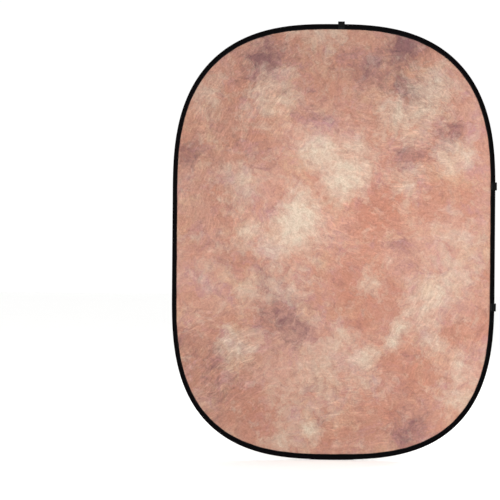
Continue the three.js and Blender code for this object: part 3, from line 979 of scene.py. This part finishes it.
class BACKDROP_OT_seams(bpy.types.Operator):
    """Sews the sleeve to the cloth, and the closing cover to the sleeve, front and back"""

    bl_idname = "backdrop.seams"
    bl_label = "Seams"

    def execute(self, context):
        thread = bonded_thread()
        lift = context.scene.backdrop_sizes.tape_thickness + LAYER
        begin = BOTTOM + COVER_HALF_LENGTH + 3 * MM
        end = BOTTOM - COVER_HALF_LENGTH + RIM_LENGTH - 2 * MM
        inside = COVER_HALF_LENGTH - 4 * MM
        ends = BOTTOM - inside, BOTTOM + inside
        for side, word in ((1, "front"), (-1, "back")):
            row = seam(f"{word}_seam", begin, end, side, HEM_DEPTH, thread)
            parts = [f"{word}_seam_thread_{part}" for part in ("upper", "lower_left", "lower_right")]
            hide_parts(*parts)
            bend_at_fold(row)
            closing = seam(f"{word}_closing_seam", *ends, side, HEM_DEPTH + lift, thread)
            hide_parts(f"{word}_seam_thread_closing")
            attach(closing, "lower_half")
        return {"FINISHED"}


class BACKDROP_OT_spring_band(bpy.types.Operator):
    """Runs the flat steel band round inside the sleeve, from one side of its joint to the other"""

    bl_idname = "backdrop.spring_band"
    bl_label = "Spring band"

    def execute(self, context):
        wide, thick, ease = BAND_BOX[1][1], 0.5 * MM, 0.2 * MM  # halves, and the eased edge
        middle = BAND_INSET + thick
        corner = [(wide, thick - ease), (wide - ease, thick)]
        quarter = corner + [(-x, y) for x, y in reversed(corner)]
        outline = quarter + [(-x, -y) for x, y in quarter]
        section = np.array([(x, middle + y) for x, y in outline])
        ends = BOTTOM + BAND_END_GAP / 2, BOTTOM - BAND_END_GAP / 2 + RIM_LENGTH
        stations = 300  # one every 19 mm
        lengths = np.linspace(*ends, stations)
        steel = blued_spring_steel()
        band = swept("spring_band", lengths, lambda _: section, steel, "spring_steel")
        parts = ["spring_band_upper", "spring_band_lower_left", "spring_band_lower_right"]
        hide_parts(*parts)
        bend_at_fold(band)
        return {"FINISHED"}


class BACKDROP_OT_band_joint(bpy.types.Operator):
    """Plates the ferrule that holds the band's two ends, and its rivets"""

    bl_idname = "backdrop.band_joint"
    bl_label = "Band joint"

    def execute(self, context):
        plated = zinc_plated_steel()
        for name in ("band_ferrule", *(f"ferrule_rivet_{i}" for i in (1, 2, 3, 4))):
            for slot in frame["nodes"][name].material_slots:
                slot.link = "OBJECT"
                slot.material = plated
        return {"FINISHED"}


def loop_shape(node):
    """Where a loop is along the rim, its width, and how far it stands out of the rim."""
    low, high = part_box(node)
    middle = (low + high) / 2
    if high.z > FOLD_HEIGHT + HALF_HEIGHT:
        upper = np.linspace(0, LEFT_FOLD, 4001)  # a place every 0.7 mm
        length = upper[np.argmin(np.abs(rim_point(upper)[:, 0] - middle.x))]
        return length, high.x - low.x, high.z - FOLD_HEIGHT - HALF_HEIGHT
    length = (middle.z - FOLD_HEIGHT) % RIM_LENGTH
    return length, high.z - low.z, high.x - HALF_WIDTH


def loop_line(length, proud):
    """The middle of a loop's webbing, (forward, inset), from the front hem over to the back."""
    sizes = bpy.context.scene.backdrop_sizes
    half = sizes.webbing_thickness / 2
    lift = sizes.tape_thickness + 3 * LAYER
    hem = HEM_DEPTH + 2 * LAYER + 0.5 * MM + half
    deep = SLEEVE_HALF_DEPTH + lift + half - sizes.tape_thickness / 2
    crown = half - proud
    width = float(rim_width(length))
    front = [  # along the hem, over the sleeve and out to the crown
        (hem, width),
        (hem, width - 6 * MM),
        (hem + 0.2 * MM, width - 9 * MM),
        (deep - 0.8 * MM, 6.5 * MM),
        (deep, 3 * MM),
        (deep, crown * 0.35),
        (deep - 0.6 * MM, crown * 0.8),
        (deep - 2.2 * MM, crown),
        (0, crown),
    ]
    back = [(-forward, inset) for forward, inset in reversed(front[:-1])]
    return softened(np.array(front + back), 2)


def loop_webbing(name, node, material):
    """A hanging loop: one length of webbing from the front hem over the rim to the back hem."""
    thickness = bpy.context.scene.backdrop_sizes.webbing_thickness
    length, width, proud = loop_shape(node)
    line = loop_line(length, proud)
    tangent = np.gradient(line, axis=0)
    tangent /= np.linalg.norm(tangent, axis=1, keepdims=True)
    normal = np.column_stack([tangent[:, 1], -tangent[:, 0]])
    # A rounded selvedge at each side of the webbing, and a shallow rib along its middle.
    share = np.array([-1, -0.93, -0.8, -0.4, 0, 0.4, 0.8, 0.93, 1])
    bulk = np.array([0.35, 0.9, 1.0, 0.9, 1.0, 0.9, 1.0, 0.9, 0.35])
    across = np.concatenate([share, share[::-1]]) * width / 2
    height = np.concatenate([bulk, -bulk[::-1]]) * thickness / 2
    forward = line[:, None, 0] + normal[:, None, 0] * height
    inset = line[:, None, 1] + normal[:, None, 1] * height
    rings = on_rim(length + across[None, :], forward, inset)
    run = np.concatenate([[0], np.cumsum(np.hypot(*np.diff(line, axis=0).T))])
    around = girth(np.column_stack([across, height]))
    return tube(name, rings, run, around, material, "webbing", sharp=50)


def bartack(name, node, side, material):
    """A dense bar of thread across a loop's end. side is 1 on the front and -1 on the back."""
    pitch = 0.9 * MM
    size = 2.4 * MM, 0.8 * MM
    length, width, _ = loop_shape(node)
    half = width * 0.4
    lengths = np.arange(length - half, length + half, pitch)
    low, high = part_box(f"{node}_{'front' if side > 0 else 'back'}_bartack")
    depth = side * (min(abs(low.y), abs(high.y)) - LAYER + 0.1 * MM)
    inset = float(rim_width(length)) - 5.5 * MM
    middles = on_rim(lengths, depth, inset)
    ahead = on_rim(lengths + pitch / 2, depth, inset + MM)
    return thread_stitches(name, middles, ahead, side, size, material)


class BACKDROP_OT_hanging_loops(bpy.types.Operator):
    """Folds a webbing loop over the rim on the top and at two places on the right-hand side"""

    bl_idname = "backdrop.hanging_loops"
    bl_label = "Hanging loops"

    def execute(self, context):
        webbing = polypropylene_webbing()
        for node in ("top_loop", "upper_side_loop", "lower_side_loop"):
            loop = loop_webbing(f"{node}_webbing", node, webbing)
            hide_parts(node)
            if node == "top_loop":
                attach(loop, "upper_half")
            else:
                bend_at_fold(loop)
        return {"FINISHED"}


class BACKDROP_OT_bartacks(bpy.types.Operator):
    """Sews each loop down with a bar of thread on the front and on the back"""

    bl_idname = "backdrop.bartacks"
    bl_label = "Bartacks"

    def execute(self, context):
        thread = bonded_thread()
        for node in ("top_loop", "upper_side_loop", "lower_side_loop"):
            for side, word in ((1, "front"), (-1, "back")):
                bar = bartack(f"{node}_{word}_bar", node, side, thread)
                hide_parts(f"{node}_{word}_bartack")
                if node == "top_loop":
                    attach(bar, "upper_half")
                else:
                    bend_at_fold(bar)
        return {"FINISHED"}


class BACKDROP_OT_studio(bpy.types.Operator):
    """Lays the pale floor, and sets the soft lights and the camera"""

    bl_idname = "backdrop.studio"
    bl_label = "Studio"

    def execute(self, context):
        scene = context.scene
        self.lay_floor()
        self.light(scene)
        self.aim_camera(scene)
        scene.view_settings.view_transform = "Standard"
        scene.view_settings.look = "None"
        return {"FINISHED"}

    def lay_floor(self):
        """A wide pale floor, just under the panel."""
        colours = bpy.context.scene.backdrop_colours
        material, tree, shader = surface("Painted studio floor", {"Roughness": 0.9})
        if tree:
            place = add(tree, "TexCoord").outputs["Object"]
            scuffs = add(tree, "TexNoise", {"Vector": place, "Scale": 3, "Detail": 6})
            darker = [c * 0.97 for c in colours.studio]
            shade = {0: scuffs, 6: opaque(darker), 7: opaque(colours.studio)}
            shade = add(tree, "Mix", shade, data_type="RGBA").outputs[2]
            tree.links.new(shade, shader.inputs["Base Color"])
        reach = 30.0
        corners = [(-reach, -reach, 0), (reach, -reach, 0), (reach, reach, 0), (-reach, reach, 0)]
        mesh = bpy.data.meshes.new("studio_floor")
        mesh.from_pydata(corners, [], [(0, 1, 2, 3)])
        mesh.materials.append(material)
        floor = bpy.data.objects.new("studio_floor", mesh)
        floor.location.z = -1 * MM
        bpy.context.scene.collection.objects.link(floor)

    def light(self, scene):
        """White surroundings, and a large soft lamp high on the right to draw out the relief."""
        world = bpy.data.worlds.new("White studio")
        world.use_nodes = True
        tree = world.node_tree
        tree.nodes.clear()
        white = add(tree, "Background", {"Color": (1, 1, 1, 1), "Strength": 1.03})
        add(tree, "OutputWorld", {"Surface": white})
        scene.world = world
        lamps = [
            ("key_softbox", (5.2, -3.4, 3.2), (0, 0, 1.0), 2.0, 260),
            ("fill_softbox", (-3.6, -4.4, 1.6), (0, 0, 0.9), 2.6, 35),
            ("back_softbox", (5.0, 3.2, 3.2), (0, 0, 1.0), 2.0, 300),
        ]
        for name, place, aim, size, watts in lamps:
            data = bpy.data.lights.new(name, "AREA")
            data.size = size
            data.energy = watts
            lamp = bpy.data.objects.new(name, data)
            lamp.location = place
            lamp.rotation_mode = "QUATERNION"
            toward = Vector(aim) - Vector(place)
            lamp.rotation_quaternion = toward.to_track_quat("-Z", "Y")
            scene.collection.objects.link(lamp)

    def aim_camera(self, scene):
        """A long lens square on to the panel, which stands right of the middle and leans a hair."""
        distance = 8.0
        view_width = 2.297  # at the panel
        right_of_middle, above_middle = 0.384, 0.038
        lean = math.radians(0.46)
        data = bpy.data.cameras.new("camera")
        data.lens = data.sensor_width * distance / view_width
        data.clip_end = 100
        camera = bpy.data.objects.new("camera", data)
        right = Vector((math.cos(lean), 0, math.sin(lean)))
        up = Vector((-math.sin(lean), 0, math.cos(lean)))
        back = Vector((0, -1, 0))
        middle = Vector((0, 0, FOLD_HEIGHT))
        place = middle - right * right_of_middle - up * above_middle + back * distance
        turned = Matrix((right, up, back)).transposed().to_4x4()
        camera.matrix_world = Matrix.Translation(place) @ turned
        scene.collection.objects.link(camera)
        scene.camera = camera


class BACKDROP_PT_panel(bpy.types.Panel):
    """Lists the pieces, and the sizes and colours that they share"""

    bl_idname = "BACKDROP_PT_panel"
    bl_label = "Collapsible Backdrop"
    bl_space_type = "VIEW_3D"
    bl_region_type = "UI"
    bl_category = "Backdrop"

    def draw(self, context):
        for operator in OPERATORS:
            self.layout.operator(operator.bl_idname)
        for group in (context.scene.backdrop_sizes, context.scene.backdrop_colours):
            box = self.layout.box()
            for name in group.__annotations__:
                box.prop(group, name)


OPERATORS = [
    BACKDROP_OT_cloths,
    BACKDROP_OT_rim_sleeve,
    BACKDROP_OT_closing_cover,
    BACKDROP_OT_seams,
    BACKDROP_OT_spring_band,
    BACKDROP_OT_band_joint,
    BACKDROP_OT_hanging_loops,
    BACKDROP_OT_bartacks,
    BACKDROP_OT_studio,
]
CLASSES = [BackdropSizes, BackdropColours, *OPERATORS, BACKDROP_PT_panel]


def register():
    for cls in CLASSES:
        bpy.utils.register_class(cls)
    bpy.types.Scene.backdrop_sizes = PointerProperty(type=BackdropSizes)
    bpy.types.Scene.backdrop_colours = PointerProperty(type=BackdropColours)


def unregister():
    del bpy.types.Scene.backdrop_colours
    del bpy.types.Scene.backdrop_sizes
    for cls in reversed(CLASSES):
        bpy.utils.unregister_class(cls)


def main():
    register()
    bpy.ops.backdrop.studio()
    bpy.ops.backdrop.cloths()
    bpy.ops.backdrop.rim_sleeve()
    bpy.ops.backdrop.closing_cover()
    bpy.ops.backdrop.seams()
    bpy.ops.backdrop.spring_band()
    bpy.ops.backdrop.band_joint()
    bpy.ops.backdrop.hanging_loops()
    bpy.ops.backdrop.bartacks()


if __name__ == "__main__":
    main()
